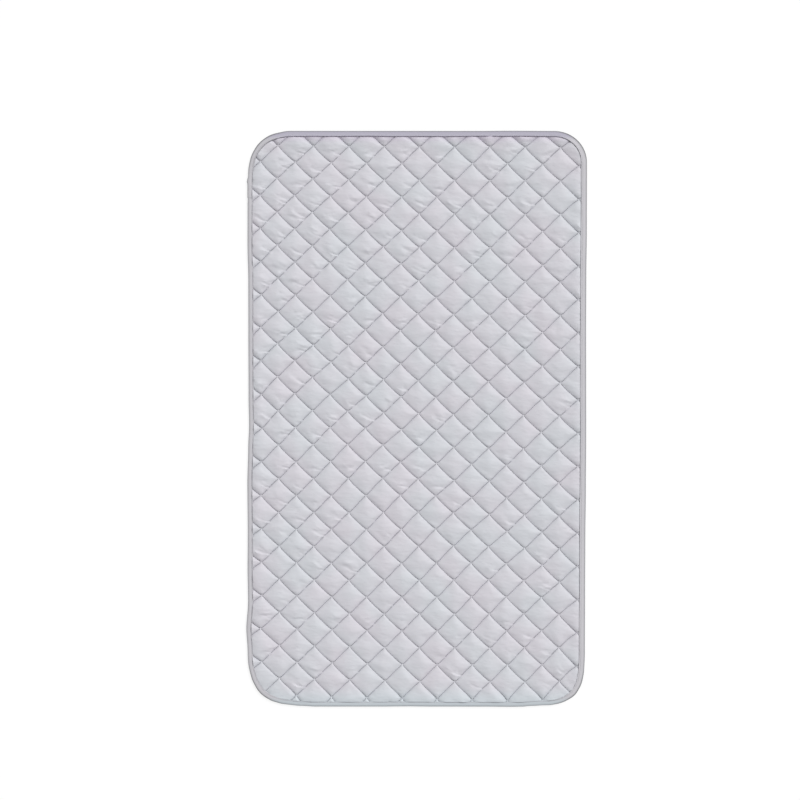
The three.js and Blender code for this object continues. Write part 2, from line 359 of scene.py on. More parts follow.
def edge_loop(inset, steps):
    """Corners of an anticlockwise loop that follows the outline at that distance inside it."""
    loop = []
    for quarter, (right, up, radius) in enumerate(CORNERS):
        centre = np.array((right, up)) * (np.array((PAD_WIDTH, PAD_LENGTH)) / 2 - radius)
        for step in range(steps + 1):
            angle = (quarter + step / steps) * math.pi / 2
            loop.append(centre + (radius - inset) * np.array((math.cos(angle), math.sin(angle))))
    return np.array(loop)


rim = edge_loop(0, RIM_STEPS)
print("round the edge, m:", round(np.linalg.norm(rim - np.roll(rim, 1, 0), axis=1).sum(), 3))

# %% [markdown]
# ## A flat net of diamonds
# The quilting is a lattice of slanted lines, so a plain grid turned on its corner has every line we
# need. Knife cuts over a flat sheet would give the same lines, but with uneven faces that crease
# badly. The grid is stretched to the diamonds, cut to the inner edge of the binding, and its rim
# pulled out under the tape. Its rows lie closer together beside the seams, where the cloth bends
# most.

# %% Points of a piece and of the lattice


def points_of(piece):
    """All points of a piece, as rows of x, y and z."""
    flat = np.zeros(len(piece.data.vertices) * 3)
    piece.data.vertices.foreach_get("co", flat)
    return flat.reshape(-1, 3)


def put_points(piece, points):
    """Moves the points of a piece to new places."""
    piece.data.vertices.foreach_set("co", points.ravel())
    piece.data.update()


def lattice_point(steps):
    """The place that lies so many steps down and up from the first crossing."""
    return QUILT_START + steps @ np.stack((STEP_DOWN, STEP_UP))


print("a step up leads to, mm:", np.round(lattice_point(np.array((0, 1))) / MM, 1))

# %% Net cut to the pad
FIELD_INSET = 9.5 * MM
WALL = 0.45 * MM
REACH = 14
MERGE = 0.4 * MM
# Places of the rows across one diamond, as shares of its side
CLOSE = (0, 0.016, 0.034, 0.09, 0.19, 0.33, 0.5, 0.67, 0.81, 0.91, 0.966, 0.984, 1)
EVEN = (0, 0.08, 0.205, 0.35, 0.5, 0.65, 0.795, 0.92, 1)
PLAIN = (0, 0.25, 0.5, 0.75, 1)


def diamond_net(name, spacing):
    """A flat net with its rows so spaced in every diamond, cut to the pad."""
    parts = len(spacing) - 1
    cells = 2 * REACH
    bpy.ops.object.select_all(action="DESELECT")
    bpy.ops.mesh.primitive_grid_add(
        x_subdivisions=cells * parts, y_subdivisions=cells * parts, size=cells
    )
    net = bpy.context.object
    net.name = name
    points = points_of(net)
    counted = np.round(points[:, :2] * parts).astype(int)
    cell = counted // parts
    points[:, :2] = lattice_point(cell + np.array(spacing)[counted - cell * parts])
    put_points(net, points)
    bpy.ops.object.mode_set(mode="EDIT")
    loop = edge_loop(FIELD_INSET + WALL, RIM_STEPS)
    for here, ahead in zip(loop, np.roll(loop, -1, 0)):
        way = (ahead - here) / np.linalg.norm(ahead - here)
        bpy.ops.mesh.select_all(action="SELECT")
        bpy.ops.mesh.bisect(
            plane_co=(*here, 0), plane_no=(way[1], -way[0], 0), clear_outer=True
        )
    bpy.ops.mesh.select_all(action="SELECT")
    bpy.ops.mesh.remove_doubles(threshold=MERGE)
    bpy.ops.mesh.select_mode(type="EDGE")
    bpy.ops.mesh.select_all(action="DESELECT")
    bpy.ops.mesh.select_non_manifold()
    for width in (WALL, FIELD_INSET - CUT_INSET):
        bpy.ops.mesh.extrude_edges_move()
        bpy.ops.object.mode_set(mode="OBJECT")
        pulled = np.zeros(len(net.data.vertices), bool)
        net.data.vertices.foreach_get("select", pulled)
        points = points_of(net)
        way_out = edge_place(points[:, :2])[1]
        points[pulled, :2] += way_out[pulled] * width
        put_points(net, points)
        bpy.ops.object.mode_set(mode="EDIT")
    bpy.ops.object.mode_set(mode="OBJECT")
    return net


close_net = diamond_net("close_net", CLOSE)
even_net = diamond_net("even_net", EVEN)
plain_net = diamond_net("plain_net", PLAIN)
nets = (close_net, even_net, plain_net)
print("faces of the nets:", [len(net.data.polygons) for net in nets])

# %% [markdown]
# ## Face cloth, blown up between its seams
# On the real pad the sewing holds the cloth down along the lines, and the wadding lifts it between
# them. A formula could give every diamond the same dome, and all would look stamped. A cloth
# simulation with pinned seams, a little spare cloth and pressure from below lets each diamond
# settle by itself. The plain dome is kept for the back and for the underside of the wadding.

# %% Points that are sewn down
ON_LINE = 1e-3


def lattice_place(flat):
    """Steps down and steps up from the first crossing to each point."""
    return (flat - QUILT_START) @ np.linalg.inv(np.stack((STEP_DOWN, STEP_UP)))


def sewn_points(points):
    """True for points on a stitch line or under the binding."""
    steps = lattice_place(points[:, :2])
    on_line = (np.abs(steps - np.round(steps)) < ON_LINE).any(axis=1)
    return on_line | (edge_place(points[:, :2])[0] < FIELD_INSET + WALL + 0.01 * MM)


print("sewn points:", sewn_points(points_of(even_net)).sum())

# %% Plain dome
ROUND = 0.8
EDGE_RISE = 9 * MM


def dome(points):
    """Share of a diamond's full height at each point: 0 on its seams, 1 in its middle."""
    part = lattice_place(points[:, :2]) % 1
    inset = edge_place(points[:, :2])[0]
    near_edge = np.clip((inset - FIELD_INSET) / EDGE_RISE, 0, 1)
    return (16 * (part * (1 - part)).prod(axis=1)) ** ROUND * near_edge * (2 - near_edge)


print("share of the height in the middle:", round(dome(points_of(even_net)).max(), 3))

# %% Pressure under the face cloth
SPARE_CLOTH = 0.022
PRESSURE = 120
FRAMES = 12
HIGHEST = 5.2 * MM
FURTHEST_ASIDE = 1.0 * MM
FIRST_LIFT = (0.2, 0.6)


def alone(piece):
    """Only this piece selected and active, so that operators touch nothing else."""
    bpy.ops.object.select_all(action="DESELECT")
    piece.select_set(True)
    bpy.context.view_layer.objects.active = piece


def copy_of(piece, name):
    """The same shape again, with a mesh of its own."""
    twin = piece.copy()
    twin.data = piece.data.copy()
    twin.name = name
    bpy.context.scene.collection.objects.link(twin)
    return twin


def blow_up(cloth, level):
    """Simulates the cloth over the wadding, with its seams held at that level."""
    chance = np.random.default_rng(11)
    points = points_of(cloth)
    sewn = sewn_points(points)
    points[:, 2] = level
    start = points.copy()
    points[~sewn, 2] += chance.uniform(*FIRST_LIFT, (~sewn).sum()) * MM
    put_points(cloth, points)
    group = cloth.vertex_groups.new(name="sewn")
    group.add(np.nonzero(sewn)[0].tolist(), 1.0, "REPLACE")
    alone(cloth)
    bpy.ops.object.modifier_add(type="CLOTH")
    modifier = cloth.modifiers[-1]
    modifier.point_cache.frame_end = FRAMES
    settings = modifier.settings
    settings.vertex_group_mass = "sewn"
    settings.shrink_min = -SPARE_CLOTH
    settings.use_pressure = True
    settings.uniform_pressure_force = PRESSURE
    settings.effector_weights.gravity = 0
    for step in range(1, FRAMES + 1):
        bpy.context.scene.frame_set(step)
    bpy.ops.object.modifier_apply(modifier=modifier.name)
    bpy.context.scene.frame_set(1)
    cloth.vertex_groups.clear()
    moved = points_of(cloth) - start
    moved[:, :2] = np.clip(moved[:, :2], -FURTHEST_ASIDE, FURTHEST_ASIDE)
    moved[:, 2] = np.clip(moved[:, 2], 0, HIGHEST)
    put_points(cloth, start + moved)


blown = copy_of(even_net, "blown_cloth")
blow_up(blown, FACE_SEAM)
heights = points_of(blown)[:, 2] - FACE_SEAM
print("highest diamond, mm:", round(heights.max() / MM, 2))

# %% [markdown]
# ## Smoothing between the seams
# The simulated cloth is coarse, so two rounds of subdivision smooth it while its seams stay sharp.
# Smoothing the points by brush would round the seams off too, which is why the seam edges get a
# crease.

# %% Smooth the blown cloth


def surface(piece):
    """A tree that finds where a straight line meets a piece."""
    faces = [tuple(face.vertices) for face in piece.data.polygons]
    return BVHTree.FromPolygons(points_of(piece).tolist(), faces)


def smooth_between_seams(cloth, flat):
    """Two subdivisions of the cloth with its stitch lines kept sharp."""
    mesh = cloth.data
    ends = np.zeros(len(mesh.edges) * 2, int)
    mesh.edges.foreach_get("vertices", ends)
    steps = lattice_place(flat)[ends.reshape(-1, 2)]
    on_line = np.abs(steps - np.round(steps)) < ON_LINE
    same = np.abs(steps[:, 0] - steps[:, 1]) < ON_LINE
    inside = (edge_place(flat)[0] > CUT_INSET + MM)[ends.reshape(-1, 2)].any(axis=1)
    sharp = (on_line.all(axis=1) & same).any(axis=1) & inside
    crease = mesh.attributes.new("crease_edge", "FLOAT", "EDGE")
    crease.data.foreach_set("value", sharp.astype(np.float32))
    alone(cloth)
    bpy.ops.object.modifier_add(type="SUBSURF")
    modifier = cloth.modifiers[-1]
    modifier.levels = modifier.render_levels = 2
    bpy.ops.object.modifier_apply(modifier=modifier.name)


smooth_between_seams(blown, points_of(even_net)[:, :2])
blown_tree = surface(blown)
bpy.data.objects.remove(blown)
print("smooth cloth ready")

# %% [markdown]
# ## Where the needles ran
# A row of needles sews the pad in one pass, each zigzagging down its own strip. Two neighbours come
# close at every crossing, turn there in a small curve and part again, which leaves a narrow neck of
# cloth between them. Straight lines from crossing to crossing would close that neck and look
# printed.

# %% Needle lines
STRIPS = range(-10, 10)
ROWS = range(-20, 21)
NECK = 0.9 * MM
TURN = 5
RUN_INSET = 5.5 * MM
LINE_STEP = 0.4 * MM


def along_line(line, step):
    """The same line with its points evenly spaced."""
    gone = np.concatenate(([0], np.cumsum(np.linalg.norm(np.diff(line, axis=0), axis=1))))
    places = np.arange(0, gone[-1], step)
    return np.stack([np.interp(places, gone, line[:, k]) for k in (0, 1)], axis=1)


def needle_line(strip):
    """Zigzag of one needle, led along the edge under the tape where it would leave the pad."""
    turns = []
    for row in ROWS:
        left = (strip + row) % 2 == 0
        column = strip if left else strip + 1
        turn = lattice_point(np.array((column + row, column - row)) / 2)
        turns.append(turn + np.array((NECK / 2 if left else -NECK / 2, 0)))
    line = along_line(np.array(turns), LINE_STEP)
    soft = np.ones(TURN) / TURN
    line = np.stack([np.convolve(line[:, k], soft, mode="valid") for k in (0, 1)], axis=1)
    inset, way_out = edge_place(line)
    within = np.nonzero(inset > RUN_INSET)[0]
    kept = slice(within[0], within[-1] + 1)
    outside = np.minimum(inset - RUN_INSET, 0)[:, None]
    return (line + way_out * outside)[kept]


needle_lines = [needle_line(strip) for strip in STRIPS]
print("needle lines, m:", round(sum(len(line) for line in needle_lines) * LINE_STEP, 1))

# %% Distance from the needle lines


def spots_of(lines):
    """A tree that finds the nearest of all the points of some lines."""
    spots = np.vstack(lines)
    finder = KDTree(len(spots))
    for at, (x, y) in enumerate(spots):
        finder.insert((x, y, 0), at)
    finder.balance()
    return finder


def distance_to(finder, flat):
    """How far each place lies from the nearest of those points."""
    return np.array([finder.find((x, y, 0))[2] for x, y in flat])


needle_spots = spots_of(needle_lines)
furthest = distance_to(needle_spots, points_of(plain_net)[:, :2]).max()
print("furthest from a needle line, mm:", round(furthest / MM, 1))

# %% [markdown]
# ## Where the thread pulls
# In many diamonds a short crease runs from the lower right seam towards the middle and fades out,
# and often a fainter one lies just above it. They are most frequent on the left of the pad, so
# chance decides, with the odds set by the place. A crease is narrow, so the net is first made finer
# round each one, and only there, to save faces.

# %% Plan the creases
CREASE_DEPTH = 1.5 * MM
CREASE_POINTS = 25
EDGE_ROOM = 14 * MM
# Least value and spread of a crease's place on the seam, its length in mm and its tilt in degrees
CREASE_START = (0.4, 0.24)
CREASE_LENGTH = (10, 12)
CREASE_TILT = (12, 18)
CREASE_BEND = np.array((-0.45, 0.06))
# Share of the depth that is left to the smallest crease, and to one where creases are rare
SMALL_DEPTH = 0.4
RARE_DEPTH = 0.6
# How far a crease fills the seam at its end, which a few do much more than the rest
BRIDGE = 0.4
WIDE_BRIDGE = 1.2
WIDE_ODDS = 0.25
# A second, fainter crease above the first: its odds, its place in steps, and its depth
TWIN_ODDS = 0.6
TWIN_STEP = 0.16
TWIN_DEPTH = 0.45
# Odds of a crease from left to right, for places from the bottom to the top, all places in mm
ODDS_ACROSS = (-230, -100, 30, 150, 230)
ODDS_ALONG = (-380, -120, 100, 330)
CREASE_ODDS = (
    (0.5, 0.4, 0.35, 0.4, 0.7),
    (0.8, 0.6, 0.25, 0.2, 0.6),
    (0.85, 0.8, 0.35, 0.15, 0.35),
    (1.0, 0.97, 0.6, 0.3, 0.5),
)


def spread(least, share):
    """A value between the least one and that with its whole spread added."""
    return least[0] + least[1] * share


def plan_creases():
    """Bent lines, each with its depth and how far it fills the seam at its end."""
    chance = np.random.default_rng(23)
    cells = np.floor(lattice_place(points_of(plain_net)[:, :2]) + 1e-4)
    plan = []
    for cell in np.unique(cells, axis=0):
        middle = lattice_point(cell + 0.5)
        draw, slide, size, lean, open_end, twin = chance.uniform(0, 1, 6)
        rows = [np.interp(middle[0] / MM, ODDS_ACROSS, row) for row in CREASE_ODDS]
        odds = np.interp(middle[1] / MM, ODDS_ALONG, rows)
        if edge_place(middle[None])[0][0] < EDGE_ROOM or draw > odds:
            continue
        start = lattice_point(cell + np.array((1, spread(CREASE_START, slide))))
        length = spread(CREASE_LENGTH, size) * MM
        tilt = math.radians(spread(CREASE_TILT, lean))
        end = start + length * np.array((-math.cos(tilt), math.sin(tilt)))
        bend = start + length * CREASE_BEND
        share = np.linspace(0, 1, CREASE_POINTS)[:, None]
        line = start * (1 - share) ** 2 + 2 * bend * share * (1 - share) + end * share**2
        depth = CREASE_DEPTH * spread((SMALL_DEPTH, 1 - SMALL_DEPTH), size)
        depth *= spread((RARE_DEPTH, 1 - RARE_DEPTH), odds)
        plan.append((line, depth, WIDE_BRIDGE if open_end < WIDE_ODDS * odds else BRIDGE))
        if twin < TWIN_ODDS * odds:
            plan.append((line + TWIN_STEP * STEP_UP, TWIN_DEPTH * depth, 0))
    return plan


creases = plan_creases()
print("creases:", len(creases))

# %% Refine the net near the creases
REFINE_REACH = (4 * MM, 2.6 * MM)


def refine_near(cloth, lines, reach):
    """Splits the faces of a net that lie near some lines."""
    centres = np.zeros(len(cloth.data.polygons) * 3)
    cloth.data.polygons.foreach_get("center", centres)
    near = distance_to(spots_of(lines), centres.reshape(-1, 3)[:, :2]) < reach
    alone(cloth)
    bpy.ops.object.mode_set(mode="EDIT")
    bpy.ops.mesh.select_mode(type="FACE")
    bpy.ops.mesh.select_all(action="DESELECT")
    bpy.ops.object.mode_set(mode="OBJECT")
    cloth.data.polygons.foreach_set("select", near)
    bpy.ops.object.mode_set(mode="EDIT")
    bpy.ops.mesh.subdivide(number_cuts=1, ngon=False)
    bpy.ops.object.mode_set(mode="OBJECT")


face = copy_of(close_net, "quilted_face_cloth")
for reach in REFINE_REACH:
    refine_near(face, [crease[0] for crease in creases], reach)
print("faces of the net:", len(face.data.polygons))

# %% [markdown]
# ## Face cloth with its grooves
# The fine net is laid on the smooth cloth. Beside every stitch line the cloth stands up steeply,
# which makes a narrow groove. It dips at every crossing and swells just above it, and it stands up
# once more beside the tape. Sculpting all this by brush would take days, so each is a formula over
# the points and their distance from the nearest needle line.

# %% Fine net on the smooth cloth
CLEAR = 30 * MM


def height_over(tree, flat, start, way):
    """Level of a surface at each place, looking up or down from a start level."""
    levels = np.full(len(flat), np.nan)
    for at, (x, y) in enumerate(flat):
        hit = tree.ray_cast(Vector((x, y, start)), Vector((0, 0, way)))[0]
        if hit is not None:
            levels[at] = hit.z
    return levels


def level_at(tree, flat, seam):
    """Height of the face above its seams, with 0 where the line misses it."""
    levels = height_over(tree, flat, CLEAR, -1)
    return np.nan_to_num(levels - seam, nan=0.0).clip(0)


points = points_of(face)
beside = distance_to(needle_spots, points[:, :2])
points[:, 2] = FACE_SEAM + level_at(blown_tree, points[:, :2], FACE_SEAM)
print("smooth cloth, highest point, mm:", round(points[:, 2].max() / MM, 2))

# %% Grooves beside the seams
PINCH = 1.0 * MM
PINCH_WIDTH = 0.8 * MM
# Share of the pinch at the left, bottom, right and top corner of every diamond
PINCH_SHARE = (0.5, 1.2, 1.4, 1.2)
# Dip at every crossing and swelling above it: height, reach and distance above the crossing
NECK_DIP = 0.7 * MM
NECK_REACH = 1.3 * MM
NECK_ABOVE = 0.3 * MM
SAG = 0.7 * MM
SAG_REACH = 4.5 * MM
SAG_ABOVE = 5.5 * MM
# Rise of the cloth beside the tape at the right, the top, the left and the bottom, in mm,
# and what the corners add to it, from the top right one on round
SHOULDER = (2.6, 3.2, 2.9, 2.2, (0, 0, -2.6, -2.0))
SHOULDER_REACH = 11 * MM
SHOULDER_FADE = 6 * MM


def by_side(way_out, right, far, left, near, corners=(0, 0, 0, 0)):
    """A value for each point, blended from one for every side and what every corner adds to it."""
    across, along = way_out.T
    far_right, far_left, near_left, near_right = corners
    beyond = np.where(across > 0, far_right, far_left)
    before = np.where(across > 0, near_right, near_left)
    sides = np.where(across > 0, right, left) * across**2
    sides += np.where(along > 0, far, near) * along**2
    return sides + np.where(along > 0, beyond, before) * 2 * np.abs(across * along)


def press_seams(points):
    """Raises the cloth beside every needle line and at the tape, and lowers it at the crossings."""
    inset, way_out = edge_place(points[:, :2])
    inset = inset - FIELD_INSET
    free = np.clip(inset / WALL, 0, 1)
    lifted = (1 - np.exp(-((beside / PINCH_WIDTH) ** 2))) * free
    part = lattice_place(points[:, :2])
    down, up = (part % 1).T
    corners = ((1 - down) * (1 - up), down * (1 - up), down * up, (1 - down) * up)
    share = np.transpose(corners) @ PINCH_SHARE
    points[:, 2] += PINCH * share * lifted
    from_crossing = (part - np.round(part)) @ np.stack((STEP_DOWN, STEP_UP))
    neck = np.linalg.norm(from_crossing - (0, NECK_ABOVE), axis=1)
    points[:, 2] -= NECK_DIP * np.exp(-((neck / NECK_REACH) ** 2))
    sag = np.linalg.norm(from_crossing - (0, SAG_ABOVE), axis=1)
    points[:, 2] += SAG * np.exp(-((sag / SAG_REACH) ** 2)) * lifted
    near_edge = np.exp(-((inset / SHOULDER_REACH) ** 2)) * free
    near_edge *= np.clip(beside / SHOULDER_FADE, 0, 1)
    points[:, 2] += by_side(way_out, *SHOULDER) * MM * near_edge


press_seams(points)
put_points(face, points)
sewn_tree = surface(face)
print("grooved cloth, highest point, mm:", round(points[:, 2].max() / MM, 2))

# %% [markdown]
# ## Low folds
# The cloth is a little too large for its diamonds, so low folds slant across each one and fade out
# at its seams. A bump in the finish could show them, but from the side the cloth would still be
# smooth. So Blender's own noise moves the points, drawn out along the slant and cut from another
# place for each diamond.

# %% Folds across the diamonds
# Low folds, turned and cut from the noise by numbers that belong to each diamond
FOLD_HEIGHT = 1.6 * MM
FOLD_SLANT = math.radians(-14)
FOLD_SWING = math.radians(20)
FOLD_LENGTH = 24 * MM
FOLD_WIDTH = 7 * MM
FOLD_FADE = 8 * MM
FOLD_NOISE = (0.8, 2.0, 2)
OWN_NUMBER = (3.7, 5.3)


def ramp(values):
    """Smooth step from 0 to 1."""
    share = np.clip(values, 0, 1)
    return share * share * (3 - 2 * share)


def lay_folds(points):
    """Low slanting folds, which differ from diamond to diamond and fade out at its seams."""
    cell = np.floor(lattice_place(points[:, :2]))
    across, along = (points[:, :2] - lattice_point(cell + 0.5)).T
    own = cell @ OWN_NUMBER
    slant = FOLD_SLANT + FOLD_SWING * np.sin(7 * own)
    lengthwise = (across * np.cos(slant) + along * np.sin(slant)) / FOLD_LENGTH
    sideways = (along * np.cos(slant) - across * np.sin(slant)) / FOLD_WIDTH
    places = np.column_stack((lengthwise, sideways, own))
    height = np.array([noise.fractal(place, *FOLD_NOISE) for place in places])
    points[:, 2] += FOLD_HEIGHT * height * ramp(beside / FOLD_FADE)


lay_folds(points)
print("folded cloth, highest point, mm:", round(points[:, 2].max() / MM, 2))

# %% [markdown]
# ## Creases
# Every planned crease is a valley that starts at a seam and fades out towards the middle, with a
# small fold below it. At the seam that fold lies over the stitches and hides a few of them. A brush
# would press them in one by one, and here one function does it for all.

# %% Creases pressed in
# Creases: reach of one from its middle, width in mm at the seam and added at the tip, height of
# the valley and of the fold below it, and how far below that lies, in widths
CREASE_REACH = 17 * MM
CREASE_WIDTH = (0.85, 0.85)
CREASE_FADE = 0.7
VALLEY = -0.65
RIDGE = 0.65
RIDGE_BELOW = 2
BRIDGE_WIDTH = 2.0 * MM


def press_crease(points, line, depth, bridging):
    """Presses one bent crease into the points near it, with a fold below that crosses the seam."""
    from_middle = np.abs(points[:, :2] - line.mean(axis=0))
    near = np.nonzero((from_middle < CREASE_REACH).all(axis=1))[0]
    flat = points[near, :2]
    apart = flat[:, None] - line
    nearest = np.linalg.norm(apart, axis=2).argmin(axis=1)
    gap = apart[np.arange(len(near)), nearest]
    below = np.where(gap[:, 1] < 0, 1, -1) * np.linalg.norm(gap, axis=1)
    along = nearest / (len(line) - 1)
    beyond = np.clip((flat[:, 0] - line[0, 0]) / MM, 0, None)
    below = below / (spread(CREASE_WIDTH, along) * MM)
    fade = (1 - along) ** CREASE_FADE * np.exp(-(beyond**2))
    valley = VALLEY * np.exp(-(below**2))
    ridge = RIDGE * np.exp(-((below - RIDGE_BELOW) ** 2))
    points[near, 2] += depth * fade * (valley + ridge)
    bridge = line[0] - STEP_UP / DIAMOND_SIDE * BRIDGE_WIDTH
    across = np.exp(-((np.linalg.norm(flat - bridge, axis=1) / BRIDGE_WIDTH) ** 2))
    points[near, 2] += bridging * depth * across * np.exp(-((beside[near] / PINCH_WIDTH) ** 2))


for planned in creases:
    press_crease(points, *planned)
points[:, 2] = np.maximum(points[:, 2], FACE_SEAM)
put_points(face, points)
print("face cloth, highest point, mm:", round(points[:, 2].max() / MM, 2))

# %% [markdown]
# ## Inner side of the face cloth
# Seen from inside, the same cloth is smooth and nobody looks at it, so a coarser net is enough
# there. Solidify would copy every face of the fine side. Instead the plain net is laid just under
# the face and the two rims are bridged, which closes the cloth all round with far fewer faces.

# %% Close the face cloth
PADDED_SHARE = 0.8


def close_layer(outer, inner, name):
    """Joins two nets of one layer and bridges their rims."""
    alone(inner)
    outer.select_set(True)
    bpy.context.view_layer.objects.active = outer
    bpy.ops.object.join()
    outer.name = name
    bpy.ops.object.mode_set(mode="EDIT")
    bpy.ops.mesh.select_mode(type="EDGE")
    bpy.ops.mesh.select_all(action="DESELECT")
    bpy.ops.mesh.select_non_manifold()
    bpy.ops.mesh.bridge_edge_loops()
    bpy.ops.mesh.select_all(action="SELECT")
    bpy.ops.mesh.normals_make_consistent(inside=False)
    bpy.ops.object.mode_set(mode="OBJECT")
    return outer


face_tree = surface(face)
inner = copy_of(plain_net, "face_inside")
points = points_of(inner)
rise = level_at(face_tree, points[:, :2], FACE_SEAM)
points[:, 2] = FACE_SEAM - CLOTH + PADDED_SHARE * rise
put_points(inner, points)
face = close_layer(face, inner, "quilted_face_cloth")
print("face cloth closed, faces:", len(face.data.polygons))

# %% [markdown]
# ## Back cloth
# Under the pad is a plain cloth, held by the same seams. The pad's weight presses its diamonds flat
# on the table, so they are shallow, with a level middle. A simulation against the table would end
# in the same flat shape, so here the net is pressed down directly and thickened with Solidify.

# %% Shallow diamonds on the back
BACK_CROWN = 1.2 * MM
PRESSED = 1.7
back = copy_of(even_net, "quilted_back_cloth")
points = points_of(back)
pressed = np.minimum(PRESSED * dome(points), 1)
points[:, 2] = BACK_SEAM - BACK_CROWN * pressed * (2 - pressed)
put_points(back, points)
alone(back)
bpy.ops.object.mode_set(mode="EDIT")
bpy.ops.mesh.select_all(action="SELECT")
bpy.ops.mesh.flip_normals()
bpy.ops.object.mode_set(mode="OBJECT")
bpy.ops.object.modifier_add(type="SOLIDIFY")
back.modifiers[-1].thickness = CLOTH
back.modifiers[-1].offset = -1
bpy.ops.object.modifier_apply(modifier=back.modifiers[-1].name)
print("back cloth, faces:", len(back.data.polygons))

# %% [markdown]
# ## Wadding
# A soft batt of fibre fills each diamond and is squeezed thin under every seam. It is hidden, but
# the pad would be hollow without it, and a cut through the model shows it. Two plain nets, one
# under the face and one over the back, are bridged at the rim.

# %% Wadding between the cloths
WADDING_GAP = 0.12 * MM
WADDING_SHARE = PADDED_SHARE - 0.06
UNDER_SHARE = 0.6
wadding = copy_of(plain_net, "quilted_wadding")
points = points_of(wadding)
rise = level_at(face_tree, points[:, :2], FACE_SEAM)
points[:, 2] = FACE_SEAM - CLOTH - WADDING_GAP + WADDING_SHARE * rise
put_points(wadding, points)
underside = copy_of(plain_net, "wadding_underside")
points = points_of(underside)
points[:, 2] = BACK_SEAM + CLOTH + WADDING_GAP - UNDER_SHARE * BACK_CROWN * dome(points)
put_points(underside, points)
wadding = close_layer(wadding, underside, "quilted_wadding")
print("wadding, faces:", len(wadding.data.polygons))

# %% [markdown]
# ## Quilting stitches
# The upper thread lies in its groove on the face and dips into every needle hole, and the lower
# thread does the same on the back. A fold of the cloth hides the thread where it crosses the seam.
# Single stitches could be copied along the line, but one long thread that dips is what is really
# there.

# %% Threads of the needles
STITCH = 3.2 * MM
THREAD_RADIUS = 0.25 * MM
STITCH_PLACES = (0, 0.2, 0.5, 0.8)
STITCH_RISE = np.array((-0.9, 0.45, 0.8, 0.45)) * THREAD_RADIUS


def stitched(line, start, way, tree, name):
    """One sewing thread that lies on a surface and dips into it at every stitch."""
    gone = np.concatenate(([0], np.cumsum(np.linalg.norm(np.diff(line, axis=0), axis=1))))
    count = int(gone[-1] / STITCH)
    places = (np.arange(count)[:, None] + np.array(STITCH_PLACES)).ravel() * gone[-1] / count
    flat = np.stack([np.interp(places, gone, line[:, k]) for k in (0, 1)], axis=1)
    level = height_over(tree, flat, start, way) - way * np.tile(STITCH_RISE, count)
    curve = bpy.data.curves.new(name, "CURVE")
    curve.dimensions = "3D"
    curve.bevel_depth = THREAD_RADIUS
    curve.bevel_resolution = 1
    curve.use_fill_caps = True
    spline = curve.splines.new("POLY")
    spline.points.add(len(flat) - 1)
    course = np.column_stack((flat, level, np.ones(len(flat))))
    spline.points.foreach_set("co", course.ravel())
    thread = bpy.data.objects.new(name, curve)
    bpy.context.scene.collection.objects.link(thread)
    alone(thread)
    bpy.ops.object.convert(target="MESH")
    return bpy.context.object


back_tree = surface(back)
needle_threads, bobbin_threads = [], []
for number, line in enumerate(needle_lines, 1):
    needle_threads.append(stitched(line, CLEAR, -1, sewn_tree, f"needle_stitches_{number:02d}"))
    bobbin_threads.append(stitched(line, -CLEAR, 1, back_tree, f"bobbin_stitches_{number:02d}"))
print("threads:", len(needle_threads), "above and", len(bobbin_threads), "below")

# %% [markdown]
# ## Edge binding
# A woven tape is folded over the raw edge and sewn through. It starts on the left side, runs round
# the pad, and its end is lapped over its start. We could extrude the section step by step, but a
# curve with the section as its bevel object sweeps it round in one go and keeps it upright.

# %% Section of the tape
# Distance in from the outer edge and level, in mm: middle and radii of the round fold, then the
# points over the face, under the back, and inside
FOLD_CENTRE = np.array((3.1, 3.05))
OUTER_RADIUS = 3.03
INNER_RADIUS = 2.5
FACE_SIDE = (
    (7.9, 4.85), (8.3, 5.4), (8.2, 6.1), (7.75, 6.4), (7.1, 6.35), (6.5, 6.05), (5.9, 6.25),
    (4.7, 6.3), (3.4, 6.12),
)
BACK_SIDE = (
    (3.4, 0.02), (5.7, 0.02), (6.5, 0.55), (7.3, 0.02), (7.9, 0.04), (8.1, 0.3), (7.9, 0.6),
)
INSIDE_BACK = ((6.5, 1.05), (5.5, 0.75), (3.4, 0.6))
INSIDE_FACE = ((3.4, 5.5), (5.5, 5.3))
# Angles of the round fold on its outer and its inner side, in degrees above its middle
OUTER_ARC = (80, -80)
INNER_ARC = (-75, 75)
ARC_POINTS = 9


def fold_arc(radius, first, last):
    """Points of the round fold, from one angle above its middle to another."""
    angles = np.radians(np.linspace(first, last, ARC_POINTS))
    return FOLD_CENTRE + radius * np.stack((-np.cos(angles), np.sin(angles)), axis=1)


def drawn(name, flat, closed):
    """A flat curve through points given as x and y."""
    curve = bpy.data.curves.new(name, "CURVE")
    curve.dimensions = "2D"
    spline = curve.splines.new("POLY")
    spline.points.add(len(flat) - 1)
    spline.use_cyclic_u = closed
    for point, (x, y) in zip(spline.points, flat):
        point.co = (x, y, 0, 1)
    piece = bpy.data.objects.new(name, curve)
    bpy.context.scene.collection.objects.link(piece)
    return piece


outer_fold = fold_arc(OUTER_RADIUS, *OUTER_ARC)
inner_fold = fold_arc(INNER_RADIUS, *INNER_ARC)
ring = np.vstack((FACE_SIDE, outer_fold, BACK_SIDE, INSIDE_BACK, inner_fold, INSIDE_FACE))
section = drawn("tape_section", ring * (-MM, MM), True)
print("points round the tape:", len(ring))

# %% Course of the tape
LAP_Y = 348 * MM
LAP_LENGTH = 25 * MM
TAPE_STEP = 3 * MM
CORNER_STEPS = 24
lap_start = np.array((-PAD_WIDTH / 2, LAP_Y))
lap_end = lap_start - (0, LAP_LENGTH)
# The loop of corners is turned so that it begins at the lower left one
outline = np.roll(edge_loop(0, CORNER_STEPS), -2 * (CORNER_STEPS + 1), axis=0)
course = along_line(np.vstack((lap_start, outline, lap_start, lap_end)), TAPE_STEP)
print("tape, m:", round(len(course) * TAPE_STEP, 2))

